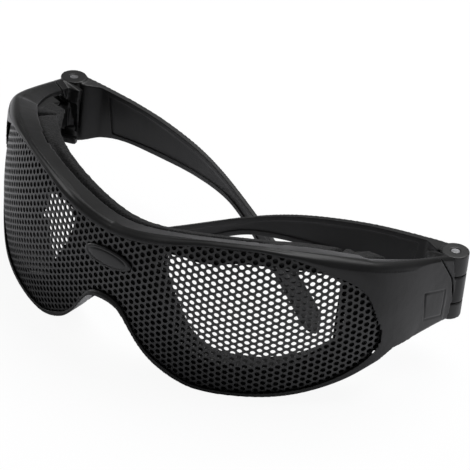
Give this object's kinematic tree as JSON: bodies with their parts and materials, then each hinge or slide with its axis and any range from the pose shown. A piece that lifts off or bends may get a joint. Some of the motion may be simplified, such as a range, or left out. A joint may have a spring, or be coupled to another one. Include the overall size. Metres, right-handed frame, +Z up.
{
  "type": "mesh safety goggles",
  "caption": "Wraparound safety goggles with a perforated mesh visor in a moulded frame, a foam cushion behind it and hinged temples with down-turned hooks",
  "frame": {"origin": "on the ground, under the middle of the folded goggles' bounding box", "axes": "+X across the face to the wearer's left, +Y from the visor back to the hinges, +Z up; the wearer's nose side of the visor faces +Y"},
  "size_m": [0.158, 0.0804, 0.0531],
  "materials": {
    "frame_plastic": "fine matte mould texture",
    "temple_plastic": "fine matte mould texture",
    "carrier_plastic": "satin",
    "badge_plastic": "satin",
    "mesh_coating": "black powder coat",
    "foam": "open-cell foam",
    "steel": "plain"
  },
  "bodies": {
    "frame": {"front_frame": "frame_plastic", "mesh_visor": "mesh_coating", "bridge_badge": "badge_plastic", "inner_frame": "carrier_plastic", "lug_screws": "steel", "foam_brow": "foam", "foam_side_left": "foam", "foam_side_right": "foam", "foam_nose": "foam", "hinge_block_left": "frame_plastic", "hinge_block_right": "frame_plastic", "hinge_pin_left": "steel", "hinge_pin_right": "steel"},
    "temple_left": {"temple_left": "temple_plastic"},
    "temple_right": {"temple_right": "temple_plastic"}
  },
  "joints": [
    {"name": "temple_right_hinge", "type": "hinge", "parent": "frame", "child": "temple_right", "pos_m": [-0.0747, 0.0345, 0.027], "axis": [0, 0, 1], "range_deg": [0, 92]},
    {"name": "temple_left_hinge", "type": "hinge", "parent": "frame", "child": "temple_left", "pos_m": [0.0747, 0.0345, 0.027], "axis": [0, 0, -1], "range_deg": [0, 86]}
  ],
  "couplings": [
    {"joint": "temple_left_hinge", "follows": "temple_right_hinge", "ratio": 0.93478}
  ]
}
